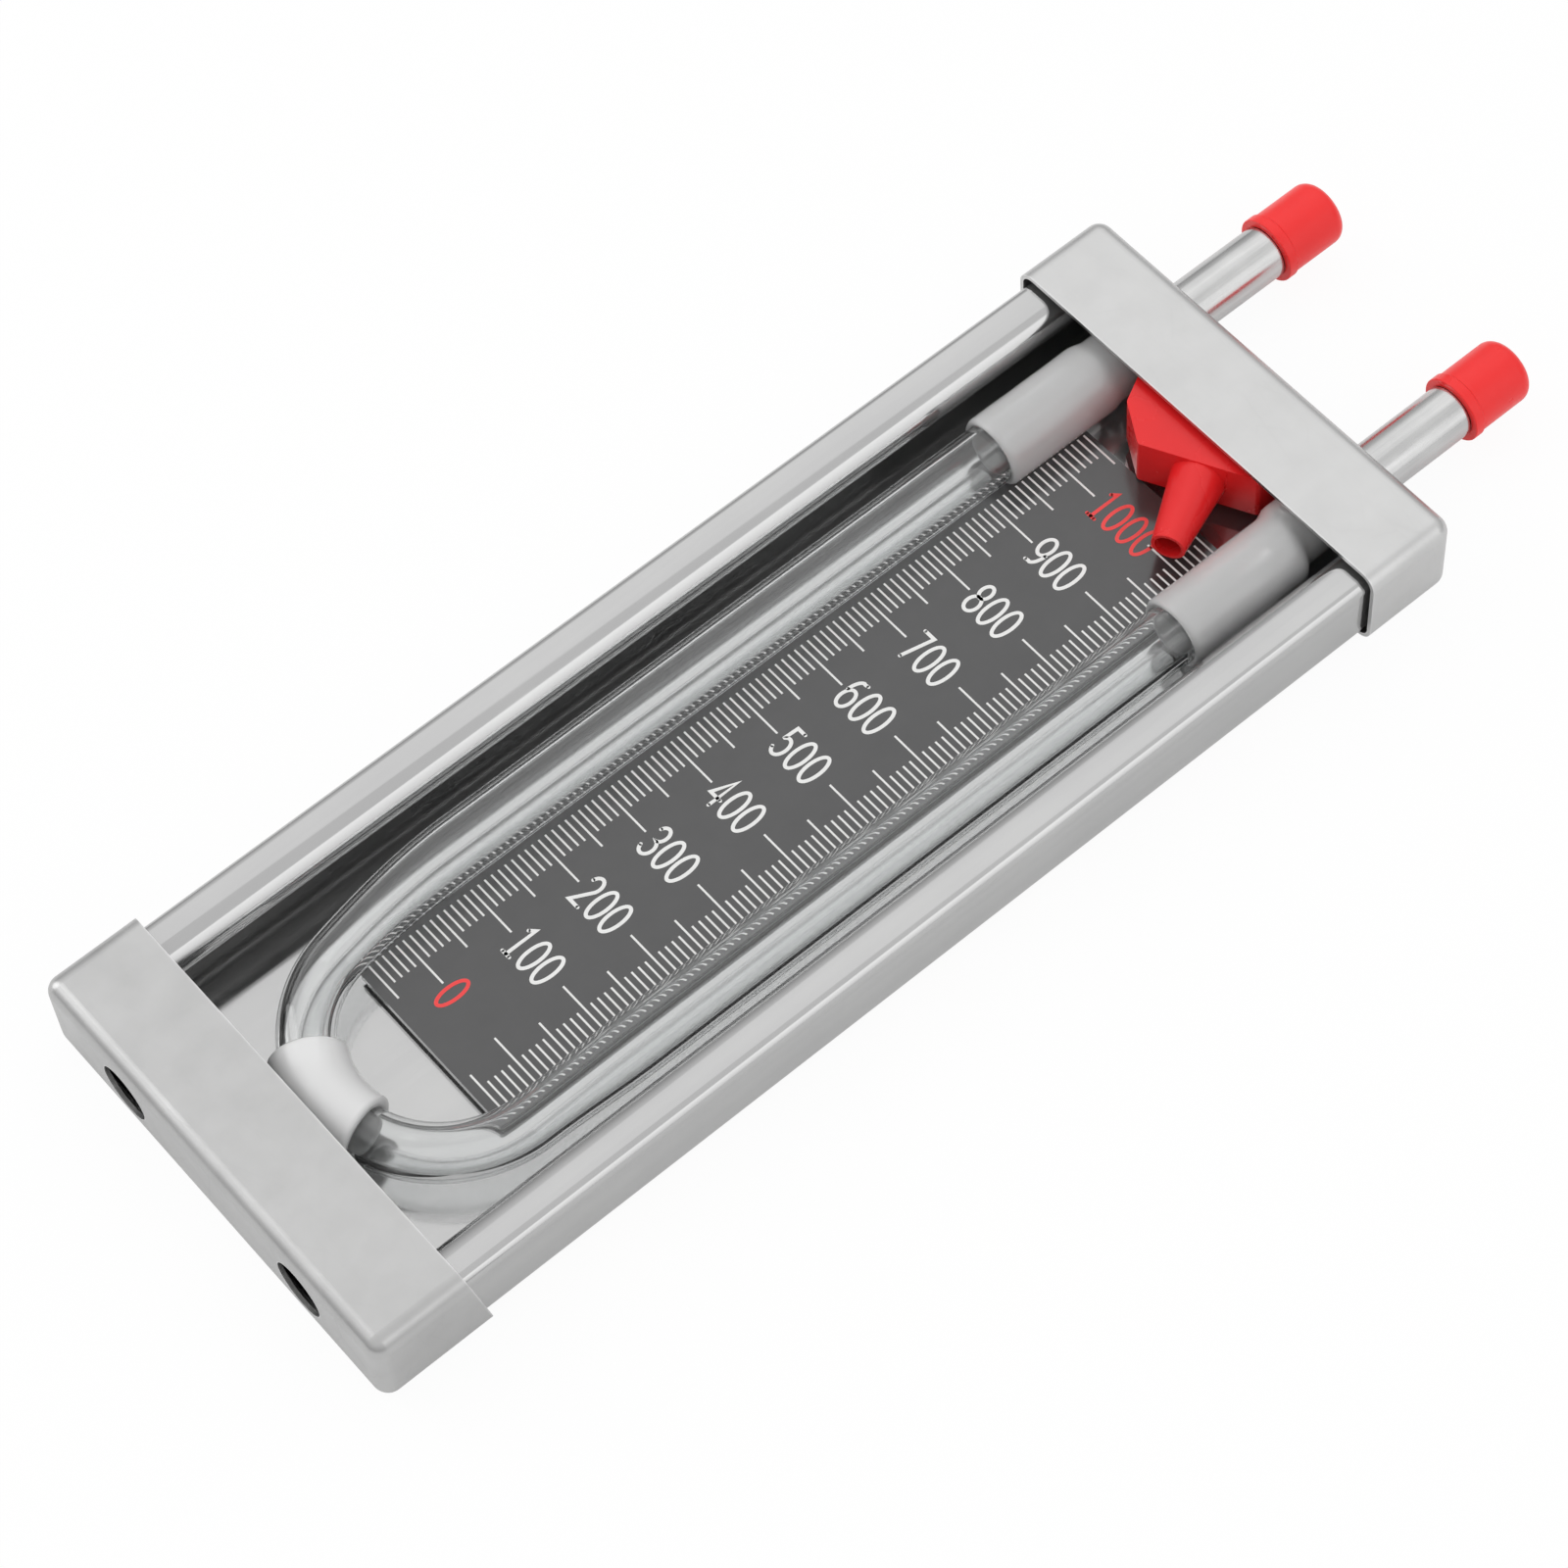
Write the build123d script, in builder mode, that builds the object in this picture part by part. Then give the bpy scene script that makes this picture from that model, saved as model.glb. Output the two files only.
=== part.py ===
from build123d import *
from math import atan, cos, degrees, radians, sin, sqrt
import os

# A pocket U-tube manometer lying on its back, in millimetres.
# X runs across the dial, Y along it towards the two pressure nipples and Z up out of
# its face. The backs of the two end cups stand on Z = 0.

os.makedirs("parts", exist_ok=True)

# Case: a bent sheet channel held between two drawn cups
body_length = 164.0
cup_width = 63.2
cup_depth = 12.8
cup_reach = 13.3
cup_sheet = 0.55
cup_long_edge_radius = 2.2
cup_end_edge_radius = 2.0
bottom_mouth_slant = 2.4
port_clearance = 0.2
channel_side_gap = 0.55
channel_back_gap = 0.3
channel_front_gap = 0.95
channel_end_gap = 1.0
channel_sheet = 0.6
channel_base_bend = 1.5
rail_sleeve_gap = 1.37
rail_bend = 1.5
rail_lip_drop = 3.4

# Pressure nipples and their vinyl dust caps
nipple_spacing_share = 0.5237
nipple_slimmer = 0.8
nipple_wall = 0.55
nipple_projection = 23.2
nipple_inner_length = 13.0
nipple_flange_bearing = 0.4
nipple_pilot_clearance = 0.02
nipple_lead_step = 0.22
nipple_lead_cover = 0.25
nipple_flange_thickness = 0.8
nipple_edge_break = 0.12
dust_cap_length = 10.0
dust_cap_wall = 0.9
dust_cap_clearance = 0.05
dust_cap_end = 1.3
dust_cap_bead = 0.2
dust_cap_bead_length = 1.3
dust_cap_end_radius = 1.6
dust_cap_edge_break = 0.15

# Glass U-tube, as thick as the case takes and a little wider than the nipples stand
glass_wall = 1.0
glass_end_round = 0.35
bend_slimmer = 0.9
left_leg_offset = 0.05
right_leg_offset = 1.15
bend_inset = 1.7
shoulder_height = 16.0
taper_height = 16.0
bend_from_end = 16.8
glass_nipple_gap = 2.4

# Silicone sleeves that join the glass to the nipples
sleeve_floor_gap = 0.12
sleeve_wall = 0.8
sleeve_clearance = 0.03
sleeve_over_nipple = 10.0
sleeve_rim_round = 0.3
left_sleeve_on_glass = 16.3
right_sleeve_on_glass = 17.6

# Scale plate on its backing tape
pascal_pitch = 0.10197
scale_step = 50
scale_bottom = -50
scale_cup_gap = 5.0
zero_from_end = 37.0
plate_margin_top = 0.75
plate_margin_bottom = 1.4
plate_thickness = 1.0
backing_thickness = 0.95
backing_inset = 0.4
plate_tube_clearance = 0.25
plate_corner_radius = 0.4
plate_relief_depth = 1.4
plate_relief_length = 8.0
plate_dent_clearance = 0.02

# Cushion round the glass bend inside the lower cup
cushion_wall = 1.2
cushion_clearance = 0.05
cushion_rim_round = 0.3
cushion_left_angle = 34.0
cushion_right_angle = 12.0

# Filling funnel stored under the upper cup
funnel_turn = 27.4
funnel_front_share = 0.633
funnel_spread_share = 0.14
funnel_aside_share = 0.156
funnel_before_mouth = 2.7
funnel_lift = 0.35
funnel_cup_gap = 1.0
funnel_shoulder = 5.5
funnel_collar = 4.0
funnel_wall = 0.8
funnel_corner_radius = 0.7
spout_length = 10.5
spout_base_step = 0.1
spout_tip_diameter = 4.4
spout_wall = 0.45

# Places that follow from the sizes above
overall_length = body_length + nipple_projection + dust_cap_end
bottom_y = -overall_length / 2
top_y = bottom_y + body_length
top_mouth_y = top_y - cup_reach
axis_z = cup_depth / 2
channel_back_z = cup_sheet + channel_back_gap
floor_z = channel_back_z + channel_sheet
rail_top_z = cup_depth - cup_sheet - channel_front_gap
channel_half_width = cup_width / 2 - cup_sheet - channel_side_gap
nipple_x = nipple_spacing_share * cup_width / 2
sleeve_radius = axis_z - floor_z - sleeve_floor_gap
glass_radius = sleeve_radius - sleeve_wall - sleeve_clearance
nipple_radius = glass_radius - nipple_slimmer / 2
nipple_inner_y = top_y - nipple_inner_length
dust_cap_mouth_y = top_y + nipple_projection + dust_cap_end - dust_cap_length
nipple_lead_y = dust_cap_mouth_y - nipple_lead_cover
glass_top_y = nipple_inner_y - glass_nipple_gap
left_leg_x = -nipple_x - left_leg_offset
right_leg_x = nipple_x + right_leg_offset
lip_x = right_leg_x + sleeve_radius + rail_sleeve_gap
bend_tube_radius = glass_radius - bend_slimmer / 2
bend_radius = (right_leg_x - left_leg_x - bend_inset) / 2
bend_x = right_leg_x - bend_radius
bend_y = bottom_y + bend_from_end + bend_radius
plate_top_z = floor_z + backing_thickness + plate_thickness
zero_y = bottom_y + zero_from_end
scale_steps = int((top_mouth_y - scale_cup_gap - zero_y) / (scale_step * pascal_pitch))
scale_top = scale_step * scale_steps
plate_bottom_y = zero_y + scale_bottom * pascal_pitch - plate_margin_bottom
plate_top_y = zero_y + scale_top * pascal_pitch + plate_margin_top


def across(x, y):
    """The plane square to a tube that runs along Y at height axis_z."""
    return Plane(origin=(x, y, axis_z), x_dir=(1, 0, 0), z_dir=(0, 1, 0))


# Channel: floor, two side walls, two front rails and the lips that fold back behind them
with BuildPart() as channel:
    with BuildSketch(Plane.XZ.offset(-(top_y - cup_sheet - channel_end_gap))):
        with BuildLine():
            FilletPolyline(
                (-lip_x, rail_top_z - rail_lip_drop),
                (-lip_x, rail_top_z),
                (-channel_half_width, rail_top_z),
                (-channel_half_width, channel_back_z),
                (channel_half_width, channel_back_z),
                (channel_half_width, rail_top_z),
                (lip_x, rail_top_z),
                (lip_x, rail_top_z - rail_lip_drop),
                radius=(rail_bend, rail_bend, channel_base_bend,
                        channel_base_bend, rail_bend, rail_bend),
            )
            offset(amount=channel_sheet, side=Side.LEFT)
        make_face()
    extrude(amount=body_length - 2 * (cup_sheet + channel_end_gap))
channel.part.label = "channel"
export_step(channel.part, "parts/channel.step")


# End cup: a drawn box with rounded edges, open towards the dial, with two ports
def drawn_cup(end_plane, mouth_slant):
    with BuildPart() as cup:
        with BuildSketch(end_plane):
            RectangleRounded(cup_width, cup_depth, cup_long_edge_radius)
        extrude(amount=cup_reach + mouth_slant)
        closed_end = faces().sort_by(Axis(end_plane.origin, end_plane.z_dir))[0]
        fillet(closed_end.edges(), cup_end_edge_radius)
        front_of_mouth = end_plane.location.position + end_plane.z_dir * cup_reach + Vector(0, 0, axis_z)
        lean = Vector(0, 0, cup_depth) - end_plane.z_dir * mouth_slant
        split(bisect_by=Plane(origin=front_of_mouth, x_dir=(1, 0, 0), z_dir=lean.cross(Vector(1, 0, 0))),
              keep=Keep.BOTTOM)
        mouth = faces().sort_by(Axis(end_plane.origin, end_plane.z_dir))[-1]
        offset(amount=-cup_sheet, openings=mouth)
        with BuildSketch(end_plane):
            with Locations((-nipple_x, 0), (nipple_x, 0)):
                Circle(nipple_radius + port_clearance)
        extrude(amount=cup_sheet, mode=Mode.SUBTRACT)
    return cup.part


top_end = Plane(origin=(0, top_y, axis_z), x_dir=(1, 0, 0), z_dir=(0, -1, 0))
top_end_cup = drawn_cup(top_end, 0)
top_end_cup.label = "top_end_cup"
export_step(top_end_cup, "parts/top_end_cup.step")

bottom_end = Plane(origin=(0, bottom_y, axis_z), x_dir=(-1, 0, 0), z_dir=(0, 1, 0))
bottom_end_cup = drawn_cup(bottom_end, bottom_mouth_slant)
bottom_end_cup.label = "bottom_end_cup"
export_step(bottom_end_cup, "parts/bottom_end_cup.step")


# Nipple: a straight tube with a flange that bears on the inside of the cup, a pilot that
# centres it in the port, and a slightly drawn-down end for the dust cap or a hose
def pressure_nipple(x):
    length = nipple_inner_length + nipple_projection
    seat = top_y - cup_sheet
    with BuildPart() as nipple:
        with BuildSketch(across(x, nipple_inner_y)):
            Circle(nipple_radius)
        extrude(amount=length)
        with BuildSketch(across(x, nipple_lead_y)):
            Circle(nipple_radius)
            Circle(nipple_radius - nipple_lead_step, mode=Mode.SUBTRACT)
        extrude(amount=nipple_projection, mode=Mode.SUBTRACT)
        with BuildSketch(across(x, seat)):
            Circle(nipple_radius + port_clearance - nipple_pilot_clearance)
        extrude(amount=cup_sheet)
        with BuildSketch(across(x, seat - nipple_flange_thickness)):
            Circle(nipple_radius + port_clearance + nipple_flange_bearing)
        extrude(amount=nipple_flange_thickness)
        with BuildSketch(across(x, nipple_inner_y)):
            Circle(nipple_radius - nipple_wall)
        extrude(amount=length, mode=Mode.SUBTRACT)
        outer_rims = edges().filter_by(GeomType.CIRCLE).group_by(Axis.Y)
        chamfer(outer_rims[0] + outer_rims[-1], nipple_edge_break)
    return nipple.part


# Dust cap: a dipped vinyl cup with a rolled bead at its mouth and a soft round end
def dust_cap(x):
    bore = nipple_radius - nipple_lead_step + dust_cap_clearance
    radius = bore + dust_cap_wall
    bore_depth = dust_cap_length - dust_cap_end
    with BuildPart() as cap:
        with BuildSketch(Plane(origin=(x, dust_cap_mouth_y, axis_z), x_dir=(1, 0, 0), z_dir=(0, 0, 1))):
            with BuildLine():
                Polyline(
                    (bore, 0),
                    (radius + dust_cap_bead, 0),
                    (radius + dust_cap_bead, dust_cap_bead_length),
                    (radius, dust_cap_bead_length + dust_cap_bead),
                    (radius, dust_cap_length),
                    (0, dust_cap_length),
                    (0, bore_depth),
                    (bore, bore_depth),
                    close=True,
                )
            make_face()
            fillet(vertices().group_by(Axis.Y)[-1].sort_by(Axis.X)[-1], dust_cap_end_radius)
            fillet(vertices().group_by(Axis.Y)[0], dust_cap_edge_break)
        revolve(axis=Axis((x, 0, axis_z), (0, 1, 0)))
    return cap.part


for side, x in (("left", -nipple_x), ("right", nipple_x)):
    nipple = pressure_nipple(x)
    nipple.label = side + "_nipple"
    export_step(nipple, "parts/" + side + "_nipple.step")
    cap = dust_cap(x)
    cap.label = side + "_dust_cap"
    export_step(cap, "parts/" + side + "_dust_cap.step")


# Glass U-tube: straight legs, a narrower bend and one long shoulder up to the left leg
shoulder_turn = 2 * degrees(atan(bend_inset / shoulder_height))
shoulder_radius = bend_radius + shoulder_height / sin(radians(shoulder_turn))
with BuildLine(Plane.XY.offset(axis_z)):
    right_taper = Line((right_leg_x, bend_y + taper_height), (right_leg_x, bend_y))
    bend = JernArc(right_taper @ 1, right_taper % 1, bend_radius, shoulder_turn - 180)
    shoulder = JernArc(bend @ 1, bend % 1, shoulder_radius, -shoulder_turn)

with BuildPart() as glass_u_tube:
    for wall, mode in ((0, Mode.ADD), (glass_wall, Mode.SUBTRACT)):
        for x, start_y in ((right_leg_x, bend_y + taper_height), (left_leg_x, bend_y + shoulder_height)):
            with BuildSketch(across(x, start_y)):
                Circle(glass_radius - wall)
            extrude(amount=glass_top_y - start_y, mode=mode)
        narrow = bend_tube_radius - wall
        with BuildLine():
            add([right_taper, bend, shoulder])
        for place, radius in ((right_taper ^ 0, glass_radius - wall), (bend ^ 0, narrow),
                              (bend ^ 0.5, narrow), (bend ^ 1, narrow),
                              (shoulder ^ 1, glass_radius - wall)):
            with BuildSketch(Plane(place)):
                Circle(radius)
        sweep(multisection=True, mode=mode)
    fillet(faces().group_by(Axis.Y)[-1].edges(), glass_end_round)
glass_u_tube.part.label = "glass_u_tube"
export_step(glass_u_tube.part, "parts/glass_u_tube.step")


# Scale plate: its long edges tuck in below the curve of the glass legs, and its lower
# left edge is cut back where the shoulder of the glass comes in
tuck = sqrt((glass_radius + plate_tube_clearance) ** 2 - (axis_z - plate_top_z) ** 2)
plate_half_width = -left_leg_x - tuck
plate_length = plate_top_y - plate_bottom_y
plate_middle_y = (plate_bottom_y + plate_top_y) / 2
with BuildPart() as scale_plate:
    with BuildSketch(Plane.XY.offset(plate_top_z - plate_thickness)) as plate_outline:
        with Locations((0, plate_middle_y)):
            RectangleRounded(2 * plate_half_width, plate_length, plate_corner_radius)
        Polygon((-plate_half_width, plate_bottom_y + plate_relief_length),
                (-plate_half_width, plate_bottom_y),
                (-plate_half_width + plate_relief_depth, plate_bottom_y), align=None, mode=Mode.SUBTRACT)
    extrude(amount=plate_thickness)
scale_plate.part.label = "scale_plate"
export_step(scale_plate.part, "parts/scale_plate.step")

with BuildPart() as backing_tape:
    with BuildSketch(Plane.XY.offset(floor_z)):
        offset(plate_outline.sketch, amount=-backing_inset)
    extrude(amount=backing_thickness)
backing_tape.part.label = "backing_tape"
export_step(backing_tape.part, "parts/backing_tape.step")


# Sleeve: soft tube stretched over the glass, necked down over the end of the nipple, and
# dented where it bears on the edge of the scale plate
def joining_sleeve(leg_x, axis_x, on_glass):
    rim_y = glass_top_y - on_glass
    glass_fit = glass_radius + sleeve_clearance
    nipple_fit = nipple_radius + sleeve_clearance
    with BuildPart() as sleeve:
        for wall, mode in ((sleeve_wall, Mode.ADD), (0, Mode.SUBTRACT)):
            with BuildSketch(across(leg_x, rim_y)):
                Circle(glass_fit + wall)
            extrude(amount=on_glass, mode=mode)
            with BuildSketch(across(leg_x, glass_top_y)):
                Circle(glass_fit + wall)
            with BuildSketch(across(axis_x, nipple_inner_y)):
                Circle(nipple_fit + wall)
            loft(mode=mode)
            with BuildSketch(across(axis_x, nipple_inner_y)):
                Circle(nipple_fit + wall)
            extrude(amount=sleeve_over_nipple, mode=mode)
        fillet(faces().group_by(Axis.Y)[0].edges(), sleeve_rim_round)
        with BuildSketch(Plane.XY.offset(floor_z)):
            with Locations((0, plate_middle_y)):
                Rectangle(2 * (plate_half_width + plate_dent_clearance), plate_length)
        extrude(amount=plate_top_z + plate_dent_clearance - floor_z, mode=Mode.SUBTRACT)
    return sleeve.part


for side, leg_x, axis_x, on_glass in (("left", left_leg_x, -nipple_x, left_sleeve_on_glass),
                                      ("right", right_leg_x, nipple_x, right_sleeve_on_glass)):
    sleeve = joining_sleeve(leg_x, axis_x, on_glass)
    sleeve.label = side + "_sleeve"
    export_step(sleeve, "parts/" + side + "_sleeve.step")


# Cushion: a short length of soft tube threaded onto the lowest part of the bend
cushion_start = radians(270 - cushion_left_angle)
spoke = Vector(cos(cushion_start), sin(cushion_start), 0)
with BuildPart() as bend_cushion:
    bend_centre = Vector(bend_x, bend_y, axis_z)
    with BuildSketch(Plane(origin=bend_centre + spoke * bend_radius, x_dir=spoke,
                           z_dir=Vector(0, 0, 1).cross(spoke))):
        Circle(bend_tube_radius + cushion_clearance + cushion_wall)
        Circle(bend_tube_radius + cushion_clearance, mode=Mode.SUBTRACT)
    revolve(axis=Axis(bend_centre, (0, 0, 1)), revolution_arc=cushion_left_angle + cushion_right_angle)
    rims = faces().filter_by(GeomType.PLANE)
    fillet(rims.edges(), cushion_rim_round)
bend_cushion.part.label = "bend_cushion"
export_step(bend_cushion.part, "parts/bend_cushion.step")


# Filling funnel: a flat hopper with a tapered spout, turned to lie between the sleeves
turn = radians(funnel_turn)
across_funnel = Vector(cos(turn), sin(turn), 0)
into_funnel = Vector(-sin(turn), cos(turn), 0)
funnel_base_z = plate_top_z + funnel_lift
funnel_height = cup_depth - cup_sheet - funnel_cup_gap - funnel_base_z
bay = right_leg_x - left_leg_x - 2 * sleeve_radius
funnel_x = funnel_aside_share * bay
funnel_origin = Vector(funnel_x, top_mouth_y - funnel_before_mouth, funnel_base_z)
front_half = funnel_front_share * bay / 2
mouth_half = front_half + funnel_spread_share * bay
funnel_depth = funnel_shoulder + funnel_collar

with BuildPart() as filling_funnel:
    plan = Plane(origin=funnel_origin, x_dir=across_funnel, z_dir=(0, 0, 1))
    with BuildSketch(plan):
        Polygon((-front_half, 0), (front_half, 0), (mouth_half, funnel_shoulder),
                (mouth_half, funnel_depth), (-mouth_half, funnel_depth),
                (-mouth_half, funnel_shoulder), align=None)
    extrude(amount=funnel_height)
    fillet(edges().filter_by(Axis.Z).group_by(Axis(funnel_origin, into_funnel))[:2], funnel_corner_radius)
    mouth = faces().sort_by(Axis(funnel_origin, into_funnel))[-1]
    offset(amount=-funnel_wall, openings=mouth)
    spout_root = Plane(origin=funnel_origin + Vector(0, 0, funnel_height / 2),
                       x_dir=across_funnel, z_dir=-into_funnel)
    for wall, mode in ((0, Mode.ADD), (spout_wall, Mode.SUBTRACT)):
        with BuildSketch(spout_root.offset(-funnel_wall)):
            Circle(funnel_height / 2 - spout_base_step - wall)
        with BuildSketch(spout_root.offset(spout_length)):
            Circle(spout_tip_diameter / 2 - wall)
        loft(mode=mode)
filling_funnel.part.label = "filling_funnel"
export_step(filling_funnel.part, "parts/filling_funnel.step")
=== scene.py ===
import bpy
import bmesh
from math import pi, sin, cos, radians, sqrt, atan
from mathutils import Vector, Matrix, noise


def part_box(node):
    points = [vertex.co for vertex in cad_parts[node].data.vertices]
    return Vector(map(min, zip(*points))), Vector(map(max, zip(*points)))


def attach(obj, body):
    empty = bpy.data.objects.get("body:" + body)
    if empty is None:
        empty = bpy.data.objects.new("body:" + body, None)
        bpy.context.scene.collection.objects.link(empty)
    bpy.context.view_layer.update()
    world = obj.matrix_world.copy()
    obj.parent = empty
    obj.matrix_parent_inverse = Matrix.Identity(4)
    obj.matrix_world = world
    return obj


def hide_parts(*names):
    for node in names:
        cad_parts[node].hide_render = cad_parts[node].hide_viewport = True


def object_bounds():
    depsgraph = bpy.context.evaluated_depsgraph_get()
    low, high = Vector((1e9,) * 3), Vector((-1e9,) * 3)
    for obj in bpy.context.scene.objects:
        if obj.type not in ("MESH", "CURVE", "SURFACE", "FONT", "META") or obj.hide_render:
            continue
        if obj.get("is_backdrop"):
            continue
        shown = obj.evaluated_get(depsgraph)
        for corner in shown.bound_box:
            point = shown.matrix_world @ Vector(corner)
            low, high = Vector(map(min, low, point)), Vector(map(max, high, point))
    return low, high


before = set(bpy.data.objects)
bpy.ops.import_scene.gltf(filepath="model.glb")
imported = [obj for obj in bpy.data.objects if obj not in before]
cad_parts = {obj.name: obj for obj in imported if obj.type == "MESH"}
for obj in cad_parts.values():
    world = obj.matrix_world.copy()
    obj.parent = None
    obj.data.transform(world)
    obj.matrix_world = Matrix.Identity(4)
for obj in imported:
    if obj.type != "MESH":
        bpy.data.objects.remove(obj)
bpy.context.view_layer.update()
scene = bpy.context.scene
mm = 0.001

# places read from the cad nodes
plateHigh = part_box("scale_plate")[1]
glassLow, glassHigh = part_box("glass_u_tube")
leftNippleLow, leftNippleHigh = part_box("left_nipple")
rightNippleLow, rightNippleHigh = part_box("right_nipple")
axisZ = (glassLow.z + glassHigh.z) / 2
plateTop = plateHigh.z


# small helpers
def addMesh(name, bm, smooth=True):
    mesh = bpy.data.meshes.new(name)
    bm.normal_update()
    bm.to_mesh(mesh)
    bm.free()
    if smooth:
        mesh.shade_smooth()
    piece = bpy.data.objects.new(name, mesh)
    scene.collection.objects.link(piece)
    return piece


def finishPiece(piece, material, body, slot, *nodes):
    piece.data.materials.clear()
    piece.data.materials.append(material)
    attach(piece, body)
    if nodes:
        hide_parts(*nodes)
    return piece


# stations: list of (centre, unit vector, radius); rings are spanned by unit and +Z
def tubeRings(bm, stations, sides):
    rings = []
    for centre, unit, radius in stations:
        ring = []
        for i in range(sides):
            a = 2 * pi * i / sides
            ring.append(bm.verts.new(centre + (unit * cos(a) + Vector((0, 0, 1)) * sin(a)) * radius))
        rings.append(ring)
    return rings


def bridgeRings(bm, rings, closed=True):
    count = len(rings)
    pairs = range(count) if closed else range(count - 1)
    for k in pairs:
        a, b = rings[k], rings[(k + 1) % count]
        n = len(a)
        for i in range(n):
            bm.faces.new((a[i], a[(i + 1) % n], b[(i + 1) % n], b[i]))


# shader helpers
def group(name, inputs, outputs):
    tree = bpy.data.node_groups.new(name, "ShaderNodeTree")
    for label, kind, value in inputs:
        socket = tree.interface.new_socket(label, in_out="INPUT", socket_type=kind)
        socket.default_value = value
    for label, kind in outputs:
        tree.interface.new_socket(label, in_out="OUTPUT", socket_type=kind)
    return tree, tree.nodes.new("NodeGroupInput"), tree.nodes.new("NodeGroupOutput")


def node(tree, kind, **settings):
    made = tree.nodes.new(kind)
    for key, value in settings.items():
        setattr(made, key, value)
    return made


def mathNode(tree, operation, a, b=None, c=None, clamp=False):
    made = node(tree, "ShaderNodeMath", operation=operation, use_clamp=clamp)
    for i, value in enumerate((a, b, c)):
        if value is None:
            continue
        if isinstance(value, (int, float)):
            made.inputs[i].default_value = value
        else:
            tree.links.new(value, made.inputs[i])
    return made.outputs[0]


def mapRange(tree, value, fromLow, fromHigh, toLow, toHigh):
    made = node(tree, "ShaderNodeMapRange")
    tree.links.new(value, made.inputs[0])
    for i, v in enumerate((fromLow, fromHigh, toLow, toHigh)):
        if isinstance(v, (int, float)):
            made.inputs[1 + i].default_value = v
        else:
            tree.links.new(v, made.inputs[1 + i])
    return made.outputs[0]


# streaks along Y, as rolled or polished sheet has
grainTree, grainIn, grainOut = group("rolledGrain",
    [("Scale", "NodeSocketFloat", 1.0), ("Stretch", "NodeSocketFloat", 0.02),
     ("Blotch", "NodeSocketFloat", 60.0)],
    [("Streak", "NodeSocketFloat"), ("Blotches", "NodeSocketFloat"), ("Fine", "NodeSocketFloat")])
coord = node(grainTree, "ShaderNodeTexCoord")
split = node(grainTree, "ShaderNodeSeparateXYZ")
grainTree.links.new(coord.outputs["Object"], split.inputs[0])
join = node(grainTree, "ShaderNodeCombineXYZ")
grainTree.links.new(split.outputs[0], join.inputs[0])
grainTree.links.new(mathNode(grainTree, "MULTIPLY", split.outputs[1], grainIn.outputs["Stretch"]),
                    join.inputs[1])
grainTree.links.new(split.outputs[2], join.inputs[2])
streak = node(grainTree, "ShaderNodeTexNoise")
grainTree.links.new(join.outputs[0], streak.inputs["Vector"])
grainTree.links.new(mathNode(grainTree, "MULTIPLY", grainIn.outputs["Scale"], 2200.0), streak.inputs["Scale"])
streak.inputs["Detail"].default_value = 4.0
blotch = node(grainTree, "ShaderNodeTexNoise")
grainTree.links.new(coord.outputs["Object"], blotch.inputs["Vector"])
grainTree.links.new(grainIn.outputs["Blotch"], blotch.inputs["Scale"])
blotch.inputs["Detail"].default_value = 5.0
fine = node(grainTree, "ShaderNodeTexNoise")
grainTree.links.new(coord.outputs["Object"], fine.inputs["Vector"])
grainTree.links.new(mathNode(grainTree, "MULTIPLY", grainIn.outputs["Scale"], 900.0), fine.inputs["Scale"])
fine.inputs["Detail"].default_value = 6.0
grainTree.links.new(streak.outputs[0], grainOut.inputs["Streak"])
grainTree.links.new(blotch.outputs[0], grainOut.inputs["Blotches"])
grainTree.links.new(fine.outputs[0], grainOut.inputs["Fine"])

# thin scratches in two directions
scratchTree, scratchIn, scratchOut = group("hairScratches",
    [("Density", "NodeSocketFloat", 40.0), ("Amount", "NodeSocketFloat", 0.3)],
    [("Mask", "NodeSocketFloat")])
coord = node(scratchTree, "ShaderNodeTexCoord")
masks = []
for angle, stretch in ((0.35, 9.0), (1.9, 7.0)):
    turn = node(scratchTree, "ShaderNodeMapping")
    turn.inputs["Rotation"].default_value = (0.0, 0.0, angle)
    turn.inputs["Scale"].default_value = (1.0, stretch, 1.0)
    scratchTree.links.new(coord.outputs["Object"], turn.inputs["Vector"])
    cells = node(scratchTree, "ShaderNodeTexVoronoi", feature="DISTANCE_TO_EDGE")
    scratchTree.links.new(turn.outputs[0], cells.inputs["Vector"])
    scratchTree.links.new(scratchIn.outputs["Density"], cells.inputs["Scale"])
    masks.append(mapRange(scratchTree, cells.outputs["Distance"], 0.0, 0.012, 1.0, 0.0))
both = mathNode(scratchTree, "MAXIMUM", masks[0], masks[1])
scratchTree.links.new(mathNode(scratchTree, "MULTIPLY", both, scratchIn.outputs["Amount"]),
                      scratchOut.inputs["Mask"])

# light wear where edges stick out
wearTree, wearIn, wearOut = group("edgeWear",
    [("Radius", "NodeSocketFloat", 0.0006), ("Break", "NodeSocketFloat", 300.0)],
    [("Mask", "NodeSocketFloat")])
bevelNormal = node(wearTree, "ShaderNodeBevel", samples=4)
wearTree.links.new(wearIn.outputs["Radius"], bevelNormal.inputs["Radius"])
geometry = node(wearTree, "ShaderNodeNewGeometry")
dot = node(wearTree, "ShaderNodeVectorMath", operation="DOT_PRODUCT")
wearTree.links.new(bevelNormal.outputs[0], dot.inputs[0])
wearTree.links.new(geometry.outputs["Normal"], dot.inputs[1])
edge = mapRange(wearTree, dot.outputs["Value"], 0.98, 0.80, 0.0, 1.0)
breakUp = node(wearTree, "ShaderNodeTexNoise")
wearCoord = node(wearTree, "ShaderNodeTexCoord")
wearTree.links.new(wearCoord.outputs["Object"], breakUp.inputs["Vector"])
wearTree.links.new(wearIn.outputs["Break"], breakUp.inputs["Scale"])
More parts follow.
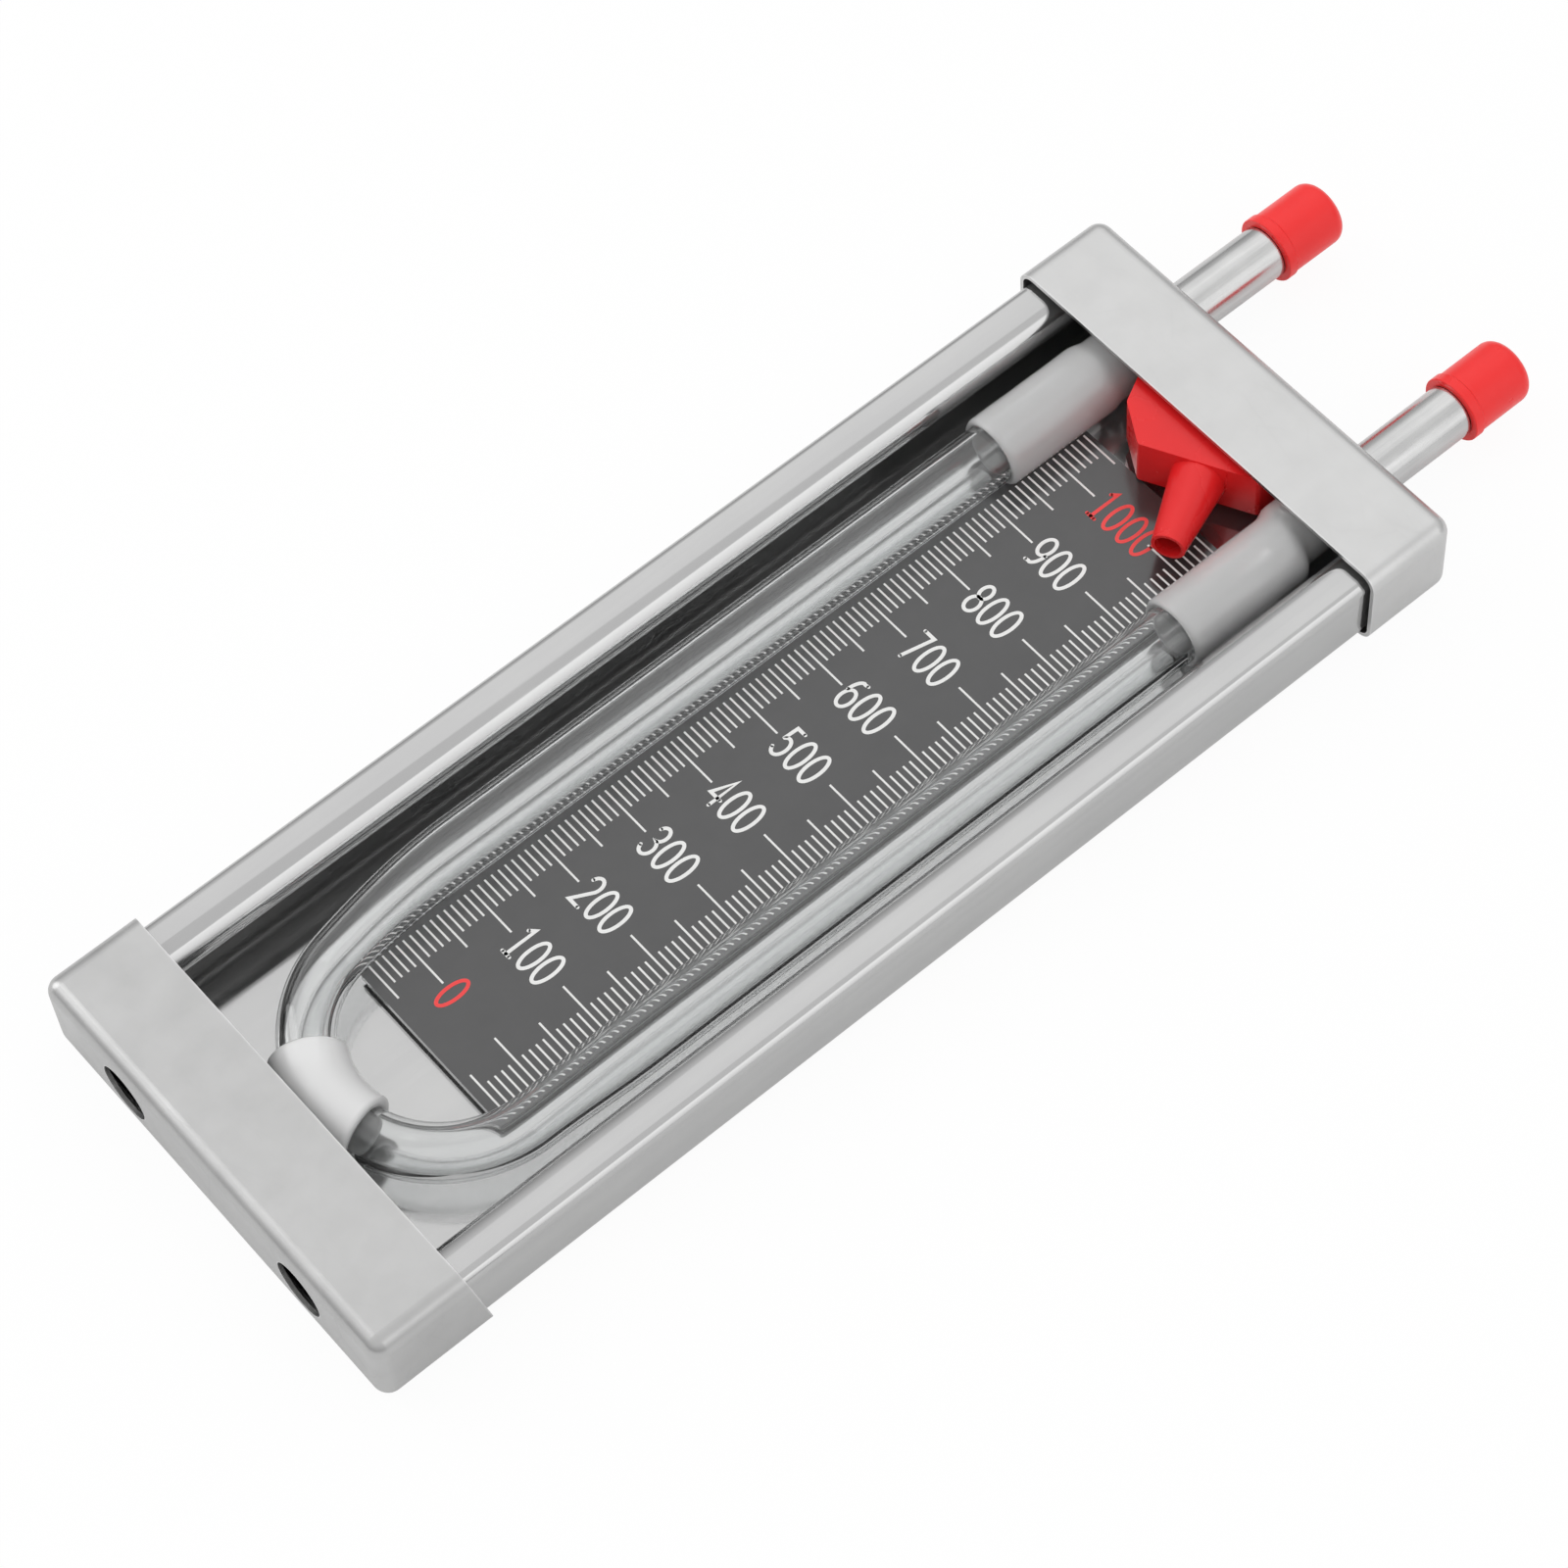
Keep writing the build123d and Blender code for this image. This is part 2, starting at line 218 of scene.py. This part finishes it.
wearTree.links.new(mathNode(wearTree, "MULTIPLY", edge, breakUp.outputs[0], clamp=True),
                   wearOut.inputs["Mask"])


def newMaterial(name):
    material = bpy.data.materials.new(name)
    material.use_nodes = True
    tree = material.node_tree
    shader = tree.nodes["Principled BSDF"]
    return material, tree, shader


def useGroup(tree, source, **values):
    made = node(tree, "ShaderNodeGroup", node_tree=source)
    for key, value in values.items():
        made.inputs[key].default_value = value
    return made


def mixColour(tree, factor, a, b):
    made = node(tree, "ShaderNodeMix", data_type="RGBA")
    tree.links.new(factor, made.inputs["Factor"])
    for socket, value in ((made.inputs[6], a), (made.inputs[7], b)):
        if isinstance(value, tuple):
            socket.default_value = value
        else:
            tree.links.new(value, socket)
    return made.outputs[2]


def addBump(tree, shader, height, distance, strength=1.0):
    bump = node(tree, "ShaderNodeBump")
    bump.inputs["Distance"].default_value = distance
    bump.inputs["Strength"].default_value = strength
    tree.links.new(height, bump.inputs["Height"])
    tree.links.new(bump.outputs[0], shader.inputs["Normal"])


# materials

def steelMaterial(name, light, dark, roughLow, roughHigh, scale, stretch, blotchScale,
                  scratchDensity, scratchAmount, bump, grit, metal=1.0):
    material, tree, shader = newMaterial(name)
    shader.inputs["Metallic"].default_value = metal
    grain = useGroup(tree, grainTree, Scale=scale, Stretch=stretch, Blotch=blotchScale)
    scratches = useGroup(tree, scratchTree, Density=scratchDensity, Amount=scratchAmount)
    wear = useGroup(tree, wearTree, Radius=0.0005, Break=400.0)
    tone = mathNode(tree, "ADD", mathNode(tree, "MULTIPLY", grain.outputs["Streak"], 0.5),
                    mathNode(tree, "MULTIPLY", grain.outputs["Blotches"], 0.5))
    spread = mapRange(tree, tone, 0.38, 0.62, 0.0, 1.0)
    base = mixColour(tree, spread, dark, light)
    tree.links.new(mixColour(tree, wear.outputs["Mask"], base, (0.9, 0.9, 0.9, 1)),
                   shader.inputs["Base Color"])
    rough = mapRange(tree, grain.outputs["Blotches"], 0.3, 0.7, roughLow, roughHigh)
    dulled = mathNode(tree, "MULTIPLY", scratches.outputs["Mask"], 0.2)
    tree.links.new(mathNode(tree, "ADD", rough, dulled, clamp=True), shader.inputs["Roughness"])
    height = mathNode(tree, "ADD", mathNode(tree, "MULTIPLY", grain.outputs["Streak"], 0.5),
                      mathNode(tree, "MULTIPLY", grain.outputs["Fine"], grit))
    height = mathNode(tree, "SUBTRACT", height, scratches.outputs["Mask"])
    addBump(tree, shader, height, bump)
    return material


channelSteel = steelMaterial("channelSteel", (0.51, 0.51, 0.508, 1), (0.475, 0.475, 0.475, 1), 0.08, 0.15,
                             0.2, 0.02, 60.0, 30.0, 0.06, 0.0000005, 0.0, 0.9)
# the two end cups are one pressed steel; the top cup's lighter base colour is painted light and the bottom
# cup's darker base colour is painted shade
topCupSteelPaintedLit = steelMaterial("topCupSteelPaintedLit", (0.60, 0.60, 0.597, 1), (0.565, 0.565, 0.562, 1), 0.30, 0.42,
                            0.12, 0.8, 70.0, 45.0, 0.3, 0.000002, 0.1)
bottomCupSteelPaintedShade = steelMaterial("bottomCupSteelPaintedShade", (0.51, 0.51, 0.508, 1), (0.465, 0.465, 0.463, 1), 0.28, 0.40,
                               0.12, 0.8, 70.0, 45.0, 0.3, 0.000002, 0.1)
nippleSteel = steelMaterial("nippleSteel", (0.62, 0.62, 0.615, 1), (0.50, 0.50, 0.50, 1), 0.14, 0.24,
                            0.6, 0.04, 120.0, 60.0, 0.2, 0.000002, 0.1)

plateBlack, tree, shader = newMaterial("plateBlack")
grain = useGroup(tree, grainTree, Scale=0.5, Stretch=1.0, Blotch=250.0)
tree.links.new(mixColour(tree, grain.outputs["Blotches"], (0.028, 0.028, 0.029, 1), (0.045, 0.045, 0.046, 1)),
               shader.inputs["Base Color"])
tree.links.new(mapRange(tree, grain.outputs["Blotches"], 0.3, 0.7, 0.10, 0.2), shader.inputs["Roughness"])
shader.inputs["IOR"].default_value = 1.75
addBump(tree, shader, grain.outputs["Fine"], 0.000001)


def inkMaterial(name, light, dark):
    material, tree, shader = newMaterial(name)
    grain = useGroup(tree, grainTree, Scale=0.8, Stretch=1.0, Blotch=400.0)
    tree.links.new(mixColour(tree, grain.outputs["Blotches"], dark, light), shader.inputs["Base Color"])
    tree.links.new(mapRange(tree, grain.outputs["Fine"], 0.3, 0.7, 0.3, 0.45), shader.inputs["Roughness"])
    addBump(tree, shader, grain.outputs["Fine"], 0.000003)
    return material


whiteInk = inkMaterial("whiteInk", (0.88, 0.88, 0.87, 1), (0.78, 0.78, 0.77, 1))
redInk = inkMaterial("redInk", (0.95, 0.06, 0.06, 1), (0.86, 0.045, 0.045, 1))


def redMaterial(name, light, dark, roughLow, roughHigh, bump, subsurface):
    material, tree, shader = newMaterial(name)
    grain = useGroup(tree, grainTree, Scale=0.5, Stretch=0.8, Blotch=160.0)
    tree.links.new(mixColour(tree, grain.outputs["Blotches"], dark, light), shader.inputs["Base Color"])
    tree.links.new(mapRange(tree, grain.outputs["Blotches"], 0.3, 0.7, roughLow, roughHigh),
                   shader.inputs["Roughness"])
    shader.inputs["IOR"].default_value = 1.42
    shader.inputs["Subsurface Weight"].default_value = subsurface
    shader.inputs["Subsurface Radius"].default_value = (1.0, 0.15, 0.1)
    shader.inputs["Subsurface Scale"].default_value = 0.001
    addBump(tree, shader, grain.outputs["Blotches"], bump)
    return material


redVinyl = redMaterial("redVinyl", (0.93, 0.03, 0.03, 1), (0.84, 0.02, 0.02, 1), 0.26, 0.38, 0.0001, 0.15)
redPlastic = redMaterial("redPlastic", (0.84, 0.02, 0.022, 1), (0.72, 0.014, 0.016, 1),
                         0.2, 0.3, 0.00003, 0.12)

glassClear, tree, shader = newMaterial("glassClear")
grain = useGroup(tree, grainTree, Scale=0.05, Stretch=0.05, Blotch=30.0)
shader.inputs["Transmission Weight"].default_value = 1.0
shader.inputs["IOR"].default_value = 1.5
tree.links.new(mixColour(tree, grain.outputs["Blotches"], (0.985, 0.99, 0.99, 1), (0.975, 0.985, 0.985, 1)),
               shader.inputs["Base Color"])
tree.links.new(mapRange(tree, grain.outputs["Blotches"], 0.3, 0.7, 0.0, 0.012), shader.inputs["Roughness"])
addBump(tree, shader, grain.outputs["Streak"], 0.00001, 0.4)


def siliconeMaterial(name, clearness):
    material, tree, shader = newMaterial(name)
    grain = useGroup(tree, grainTree, Scale=0.3, Stretch=0.3, Blotch=150.0)
    shader.inputs["Transmission Weight"].default_value = clearness
    shader.inputs["IOR"].default_value = 1.41
    milk = mixColour(tree, grain.outputs["Blotches"], (0.99, 0.99, 0.99, 1), (0.955, 0.955, 0.955, 1))
    tree.links.new(milk, shader.inputs["Base Color"])
    tree.links.new(mapRange(tree, grain.outputs["Blotches"], 0.3, 0.7, 0.16, 0.26),
                   shader.inputs["Roughness"])
    addBump(tree, shader, grain.outputs["Fine"], 0.00001)
    return material


silicone = siliconeMaterial("silicone", 0.66)
milkySilicone = siliconeMaterial("milkySilicone", 0.35)

tapeFoam, tree, shader = newMaterial("tapeFoam")
grain = useGroup(tree, grainTree, Scale=1.5, Stretch=1.0, Blotch=900.0)
tree.links.new(mixColour(tree, grain.outputs["Fine"], (0.72, 0.72, 0.70, 1), (0.85, 0.85, 0.83, 1)),
               shader.inputs["Base Color"])
shader.inputs["Roughness"].default_value = 0.9
addBump(tree, shader, grain.outputs["Fine"], 0.00006)
print("materials made")

# cad nodes that keep their shape
looks = {"channel": channelSteel, "top_end_cup": topCupSteelPaintedLit, "bottom_end_cup": bottomCupSteelPaintedShade,
         "left_nipple": nippleSteel, "right_nipple": nippleSteel, "scale_plate": plateBlack,
         "backing_tape": tapeFoam, "left_dust_cap": redVinyl, "right_dust_cap": redVinyl,
         "filling_funnel": redPlastic, "left_sleeve": silicone, "right_sleeve": silicone,
         "bend_cushion": milkySilicone}
for name, material in looks.items():
    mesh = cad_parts[name].data
    mesh.materials.clear()
    mesh.materials.append(material)

# channel with its rails rolled over to the lips
channel = {"lip": 23.9, "drop": 3.4, "roll": 3.3, "bend": 1.5, "sheet": 0.6, "steps": 16, "sharp": 30.0}
channelLow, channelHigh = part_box("channel")


# corners: list of (x, z, radius); returns (point, normal to the left) along the filleted line
def bentLine(corners):
    made = []
    for i, (x, z, radius) in enumerate(corners):
        here = Vector((x, z))
        back = (Vector(corners[i - 1][:2]) - here).normalized() if i else None
        on = (Vector(corners[i + 1][:2]) - here).normalized() if i < len(corners) - 1 else None
        if back is None or on is None:
            way = on if on is not None else -back
            made.append((here, Vector((-way.y, way.x))))
            continue
        centre = here + (back + on) * radius
        for k in range(channel["steps"] + 1):
            a = pi / 2 * k / channel["steps"]
            way = -back * cos(a) + on * sin(a)
            made.append((centre - on * radius * cos(a) - back * radius * sin(a), Vector((-way.y, way.x))))
    return made


half, backZ, railTop = channelHigh.x / mm, channelLow.z / mm, channelHigh.z / mm
lip, drop, roll, bend = channel["lip"], channel["drop"], channel["roll"], channel["bend"]
profile = bentLine([(-lip, railTop - drop, 0), (-lip, railTop, roll),
                    (-half, railTop, bend), (-half, backZ, bend),
                    (half, backZ, bend), (half, railTop, bend),
                    (lip, railTop, roll), (lip, railTop - drop, 0)])
bm = bmesh.new()
loop = [point for point, side in profile]
loop += [point + side * channel["sheet"] for point, side in reversed(profile)]
rows = [[bm.verts.new((point.x * mm, y, point.y * mm)) for point in loop]
        for y in (channelLow.y, channelHigh.y)]
total = len(loop)
for i in range(total):
    j = (i + 1) % total
    bm.faces.new((rows[0][i], rows[0][j], rows[1][j], rows[1][i]))
for row in rows:
    for i in range(len(profile) - 1):
        bm.faces.new((row[i], row[i + 1], row[total - 2 - i], row[total - 1 - i]))
bmesh.ops.recalc_face_normals(bm, faces=bm.faces)
for border in bm.edges:
    border.smooth = border.calc_face_angle(0) < radians(channel["sharp"])
finishPiece(addMesh("rolledChannel", bm), channelSteel, "case", "polished_steel", "channel")

# glass tube, blown slightly narrower round the bend
glass = {"radius": 4.0, "bend": 3.55, "wall": 1.0, "sides": 96, "inset": 1.7, "shoulder": 16.0,
         "taper": 16.0, "legSteps": 24, "bendSteps": 72}
leftLeg = glassLow.x / mm + glass["radius"]
rightLeg = glassHigh.x / mm - glass["radius"]
glassTop = glassHigh.y / mm
bendRadius = (rightLeg - leftLeg - glass["inset"]) / 2
bendX = rightLeg - bendRadius
bendY = glassLow.y / mm + glass["bend"] + bendRadius
turn = 2 * atan(glass["inset"] / glass["shoulder"])
shoulderRadius = bendRadius + glass["shoulder"] / sin(turn)


# centre, unit vector across, and how far the section is towards the narrow one
def glassRoute():
    places = []
    steps = glass["legSteps"]
    for i in range(steps + 1):
        y = glassTop + (bendY + glass["taper"] - glassTop) * i / steps
        places.append((Vector((rightLeg, y, 0)), Vector((1, 0, 0)), 0.0))
    for i in range(1, steps + 1):
        t = i / steps
        y = bendY + glass["taper"] * (1 - t)
        places.append((Vector((rightLeg, y, 0)), Vector((1, 0, 0)), t * t * (3 - 2 * t)))
    arc = pi - turn
    for i in range(1, glass["bendSteps"] + 1):
        a = -arc * i / glass["bendSteps"]
        out = Vector((cos(a), sin(a), 0))
        places.append((Vector((bendX, bendY, 0)) + out * bendRadius, out, 1.0))
    end, across = places[-1][0], places[-1][1]
    centre = end - across * shoulderRadius
    for i in range(1, steps + 1):
        a = turn * i / steps
        out = Vector((across.x * cos(-a) - across.y * sin(-a), across.x * sin(-a) + across.y * cos(-a), 0))
        t = i / steps
        places.append((centre + out * shoulderRadius, out, 1 - t * t * (3 - 2 * t)))
    last = places[-1][0]
    for i in range(1, steps + 1):
        y = last.y + (glassTop - last.y) * i / steps
        places.append((Vector((leftLeg, y, 0)), Vector((-1, 0, 0)), 0.0))
    return places


route = glassRoute()
bm = bmesh.new()
rings = []
for wall in (0.0, glass["wall"]):
    stations = []
    for centre, out, narrow in route:
        radius = glass["radius"] + (glass["bend"] - glass["radius"]) * narrow - wall
        stations.append(((centre + Vector((0, 0, axisZ / mm))) * mm, out, radius * mm))
    made = tubeRings(bm, stations, glass["sides"])
    if wall:
        made.reverse()
    rings += made
bridgeRings(bm, rings)
bmesh.ops.recalc_face_normals(bm, faces=bm.faces)
tube = addMesh("glassTube", bm)
finishPiece(tube, glassClear, "case", "tube_glass", "glass_u_tube")
print("glass made", round(leftLeg, 2), round(rightLeg, 2), round(bendY, 2))

# silicone sleeves, necked down from the glass to the nipple
sleeve = {"wall": 0.8, "nipple": 3.6, "rimRound": 0.28, "sides": 72, "wobble": 0.05}
plateHalf = plateHigh.x / mm


# closed tube wall: outer rings out, inner rings back
def wallLoop(bm, stations, innerStations, sides, dent=None):
    outer = tubeRings(bm, stations, sides)
    inner = tubeRings(bm, innerStations, sides)
    inner.reverse()
    bridgeRings(bm, outer + inner)
    if dent:
        for vert in bm.verts:
            dent(vert)
    bmesh.ops.recalc_face_normals(bm, faces=bm.faces)


def sleeveMesh(side, legX, axisX, rimY, endY, neckStart, neckEnd, seed):
    bm = bmesh.new()
    outer, inner = [], []
    count = 60
    for i in range(count + 1):
        y = rimY + (endY - rimY) * i / count
        t = min(1.0, max(0.0, (y - neckStart) / (neckEnd - neckStart)))
        t = t * t * (3 - 2 * t)
        x = legX + (axisX - legX) * t
        bore = glass["radius"] + 0.02 + (sleeve["nipple"] - glass["radius"]) * t
        wobble = sleeve["wobble"] * noise.noise(Vector((seed, y * 0.25, 0)))
        edge = min(y - rimY, endY - y)
        r = sleeve["rimRound"]
        inset = r - sqrt(max(0.0, r * r - (r - min(edge, r)) ** 2))
        centre = Vector((x, y, axisZ / mm)) * mm
        outer.append((centre, Vector((1, 0, 0)), (bore + sleeve["wall"] + wobble - inset) * mm))
        inner.append((centre, Vector((1, 0, 0)), bore * mm))

    def dent(vert):
        x, z = vert.co.x / mm, vert.co.z / mm
        if z < plateTop / mm + 0.03 and abs(x) < plateHalf + 0.03:
            vert.co.x = (plateHalf + 0.03) * mm * (1 if x > 0 else -1)

    wallLoop(bm, outer, inner, sleeve["sides"], dent)
    return addMesh(side + "Sleeve", bm)


for side, legX, nippleLow, nippleHigh in (("left", leftLeg, leftNippleLow, leftNippleHigh),
                                          ("right", rightLeg, rightNippleLow, rightNippleHigh)):
    sleeveLow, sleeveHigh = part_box(side + "_sleeve")
    axisX = (nippleLow.x + nippleHigh.x) / 2 / mm
    piece = sleeveMesh(side, legX, axisX, sleeveLow.y / mm, sleeveHigh.y / mm, glassTop,
                       nippleLow.y / mm, legX)
    finishPiece(piece, silicone, "case", "silicone", side + "_sleeve")

# cushion: soft tube on the lowest part of the bend
cushion = {"left": 28.0, "right": 17.0, "wall": 1.2, "gap": 0.05, "rimRound": 0.3}
bm = bmesh.new()
outer, inner = [], []
for i in range(49):
    a = radians(270 - cushion["left"] + (cushion["left"] + cushion["right"]) * i / 48)
    out = Vector((cos(a), sin(a), 0))
    edge = radians((cushion["left"] + cushion["right"]) * min(i, 48 - i) / 48) * bendRadius
    r = cushion["rimRound"]
    inset = r - sqrt(max(0.0, r * r - (r - min(edge, r)) ** 2))
    centre = (Vector((bendX, bendY, axisZ / mm)) + out * bendRadius) * mm
    bore = glass["bend"] + cushion["gap"]
    outer.append((centre, out, (bore + cushion["wall"] - inset) * mm))
    inner.append((centre, out, bore * mm))
wallLoop(bm, outer, inner, 64)
finishPiece(addMesh("bendCushion", bm), milkySilicone, "case", "silicone", "bend_cushion")
print("sleeves and cushion made")

# scale marks
scale = {"pitch": 1.0197, "outer": 12.49, "small": 8.69, "medium": 6.73, "long": 4.83, "stroke": 0.26,
         "zero": -57.25, "print": 0.02}


def flatPrism(bm, points, low, high):
    bottom = [bm.verts.new(Vector((x, y, low)) * mm) for x, y in points]
    top = [bm.verts.new(Vector((x, y, high)) * mm) for x, y in points]
    n = len(points)
    bm.faces.new(top)
    bm.faces.new(list(reversed(bottom)))
    for i in range(n):
        bm.faces.new((bottom[i], bottom[(i + 1) % n], top[(i + 1) % n], top[i]))


bm = bmesh.new()
low = plateTop / mm + 0.001
high = low + scale["print"]
for step in range(-5, 106):
    y = scale["zero"] + step * scale["pitch"]
    inner = scale["long"] if step % 10 == 0 else scale["medium"] if step % 5 == 0 else scale["small"]
    for side in (-1, 1):
        xs = sorted((side * inner, side * scale["outer"]))
        h = scale["stroke"] / 2
        flatPrism(bm, [(xs[0], y - h), (xs[1], y - h), (xs[1], y + h), (xs[0], y + h)], low, high)
ticks = addMesh("scaleTicks", bm, smooth=False)
finishPiece(ticks, whiteInk, "case", "scale_black")

# digits drawn as strokes on a cell one high
digit = {"height": 4.6, "width": 1.8, "advance": 2.52, "stroke": 0.48, "left": -4.0}


def arcPoints(cx, cy, rx, ry, start, end, count=18):
    return [(cx + rx * cos(radians(start + (end - start) * i / count)),
             cy + ry * sin(radians(start + (end - start) * i / count))) for i in range(count + 1)]


def strokesOf(character):
    w = 0.5
    if character == "0":
        return [(arcPoints(w, 0.5, 0.5, 0.5, 0, 360, 48)[:-1], True)]
    if character == "1":
        return [([(0.2, 0.86), (0.55, 1.0), (0.55, 0.0)], False), ([(0.2, 0.0), (0.9, 0.0)], False)]
    if character == "2":
        return [(arcPoints(0.5, 0.74, 0.44, 0.26, 165, -35, 20) + [(0.06, 0.0), (0.97, 0.0)], False)]
    if character == "3":
        upper = arcPoints(0.47, 0.76, 0.42, 0.24, 160, -90, 20)
        lower = arcPoints(0.47, 0.26, 0.47, 0.26, 90, -160, 22)
        return [(upper + lower[1:], False)]
    if character == "4":
        return [([(0.72, 0.0), (0.72, 1.0), (0.02, 0.30), (1.0, 0.30)], False)]
    if character == "5":
        flag = [(0.9, 1.0), (0.18, 1.0), (0.12, 0.56)]
        return [(flag + arcPoints(0.46, 0.32, 0.48, 0.31, 130, -150, 24), False)]
    if character == "6":
        return [([(0.85, 0.97), (0.60, 0.95)] + arcPoints(0.56, 0.5, 0.54, 0.47, 100, 175, 10), False),
                (arcPoints(0.5, 0.31, 0.48, 0.31, 0, 360, 36)[:-1], True)]
    if character == "7":
        return [([(0.04, 1.0), (0.96, 1.0), (0.36, 0.0)], False)]
    if character == "8":
        return [(arcPoints(0.5, 0.76, 0.40, 0.24, 0, 360, 36)[:-1], True),
                (arcPoints(0.5, 0.27, 0.48, 0.27, 0, 360, 36)[:-1], True)]
    return [(arcPoints(0.5, 0.69, 0.48, 0.31, 0, 360, 36)[:-1], True),
            ([(0.15, 0.03), (0.40, 0.05)] + arcPoints(0.44, 0.5, 0.54, 0.47, -80, -5, 10), False)]


def ribbon(bm, points, closed, half, low, high):
    n = len(points)
    lefts, rights = [], []
    for i, (x, y) in enumerate(points):
        before = points[i - 1] if i or closed else points[i]
        after = points[(i + 1) % n] if i < n - 1 or closed else points[i]
        d1 = Vector((x - before[0], y - before[1]))
        d2 = Vector((after[0] - x, after[1] - y))
        d1 = d1.normalized() if d1.length > 1e-9 else d2.normalized()
        d2 = d2.normalized() if d2.length > 1e-9 else d1
        side = Vector((-(d1 + d2).y, (d1 + d2).x)).normalized()
        reach = half / max(0.45, abs(side.dot(Vector((-d1.y, d1.x)))))
        lefts.append((x + side.x * reach, y + side.y * reach))
        rights.append((x - side.x * reach, y - side.y * reach))
    last = n if closed else n - 1
    for i in range(last):
        j = (i + 1) % n
        flatPrism(bm, [lefts[i], rights[i], rights[j], lefts[j]], low, high)
    if not closed:
        for (x, y) in (points[0], points[-1]):
            flatPrism(bm, arcPoints(x, y, half, half, 0, 360, 16)[:-1], low, high)


def writeNumber(bm, text, y):
    x = digit["left"]
    for character in text:
        for points, closed in strokesOf(character):
            placed = [(x + px * digit["width"], y + (py - 0.5) * digit["height"]) for px, py in points]
            ribbon(bm, placed, closed, digit["stroke"] / 2, low, high)
        x += digit["advance"]


for name, values, ink in (("whiteNumbers", range(100, 1000, 100), whiteInk),
                          ("redNumbers", (0, 1000), redInk)):
    bm = bmesh.new()
    for value in values:
        writeNumber(bm, str(value), scale["zero"] + value / 10 * scale["pitch"])
    numbers = addMesh(name, bm, smooth=False)
    finishPiece(numbers, ink, "case", "scale_black")
print("scale drawn")

# floor, light and camera
stage = {"size": 3.0, "drop": 0.00005, "white": 1.0, "mix": 0.94, "shine": 0.27, "sky": 0.95, "horizon": 0.40}
bm = bmesh.new()
bmesh.ops.create_grid(bm, x_segments=2, y_segments=2, size=stage["size"])
floor = addMesh("floor", bm, smooth=False)
floor.location.z = -stage["drop"]
floorWhite, tree, shader = newMaterial("floorWhite")
shader.inputs["Roughness"].default_value = 0.9
floorNoise = node(tree, "ShaderNodeTexNoise")
floorNoise.inputs["Scale"].default_value = 6.0
tree.links.new(mixColour(tree, floorNoise.outputs[0], (0.9, 0.9, 0.9, 1), (0.93, 0.93, 0.93, 1)),
               shader.inputs["Base Color"])
glow = node(tree, "ShaderNodeEmission")
glow.inputs["Strength"].default_value = stage["white"]
rays = node(tree, "ShaderNodeLightPath")
seen = mathNode(tree, "ADD", rays.outputs["Is Camera Ray"], rays.outputs["Is Transmission Ray"], clamp=True)
seen = mathNode(tree, "MULTIPLY", seen, stage["mix"])
shine = mathNode(tree, "MULTIPLY", rays.outputs["Is Glossy Ray"], stage["shine"])
mixer = node(tree, "ShaderNodeMixShader")
tree.links.new(mathNode(tree, "MAXIMUM", seen, shine), mixer.inputs[0])
tree.links.new(shader.outputs[0], mixer.inputs[1])
tree.links.new(glow.outputs[0], mixer.inputs[2])
tree.links.new(mixer.outputs[0], tree.nodes["Material Output"].inputs["Surface"])
floor.data.materials.append(floorWhite)
floor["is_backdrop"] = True

world = bpy.data.worlds.new("studio")
scene.world = world
world.use_nodes = True
tree = world.node_tree
back = tree.nodes["Background"]
where = node(tree, "ShaderNodeTexCoord")
heightOf = node(tree, "ShaderNodeSeparateXYZ")
tree.links.new(where.outputs["Generated"], heightOf.inputs[0])
tree.links.new(mapRange(tree, heightOf.outputs[2], 0.0, 0.7, stage["horizon"], stage["sky"]),
               back.inputs["Strength"])
back.inputs["Color"].default_value = (1, 1, 1, 1)
white = node(tree, "ShaderNodeBackground")
white.inputs["Color"].default_value = (1, 1, 1, 1)
rays = node(tree, "ShaderNodeLightPath")
mixer = node(tree, "ShaderNodeMixShader")
tree.links.new(rays.outputs["Is Camera Ray"], mixer.inputs[0])
tree.links.new(back.outputs[0], mixer.inputs[1])
tree.links.new(white.outputs[0], mixer.inputs[2])
tree.links.new(mixer.outputs[0], tree.nodes["World Output"].inputs["Surface"])


def softbox(name, place, target, width, height, power):
    light = bpy.data.lights.new(name, "AREA")
    light.shape = "RECTANGLE"
    light.size, light.size_y = width, height
    light.energy = power
    lamp = bpy.data.objects.new(name, light)
    scene.collection.objects.link(lamp)
    lamp.location = place
    lamp.rotation_euler = (Vector(target) - Vector(place)).to_track_quat("-Z", "Y").to_euler()
    return lamp


# place, target, width, height, power
lamps = {"topBox": ((-0.42, 0.50, 0.86), (0, 0.05, 0), 0.9, 0.9, 0.7),
         "leftBox": ((-0.9, -0.6, 0.5), (0, 0, 0), 0.6, 0.9, 2.6),
         "rightBox": ((0.9, 0.33, 0.43), (0, 0, 0), 0.5, 0.9, 1.1),
         "glint": ((-0.55, -0.25, 0.9), (0, 0, 0), 0.3, 0.3, 0.4)}
for name, values in lamps.items():
    softbox(name, *values)

view = {"sensor": 36.0, "lens": 111.7, "near": 0.01, "place": (0.244893, -0.183028, 0.498019),
        "right": (0.64479, 0.76263, -0.05139), "up": (-0.63737, 0.57356, 0.51456)}
camera = bpy.data.cameras.new("camera")
camera.sensor_width = view["sensor"]
camera.lens = view["lens"]
camera.clip_start = view["near"]
eye = bpy.data.objects.new("camera", camera)
scene.collection.objects.link(eye)
right = Vector(view["right"]).normalized()
up = Vector(view["up"]).normalized()
away = right.cross(up).normalized()
turned = Matrix((right, up, away)).transposed().to_4x4()
eye.matrix_world = Matrix.Translation(view["place"]) @ turned
scene.camera = eye
scene.view_settings.view_transform = "Standard"

low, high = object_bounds()
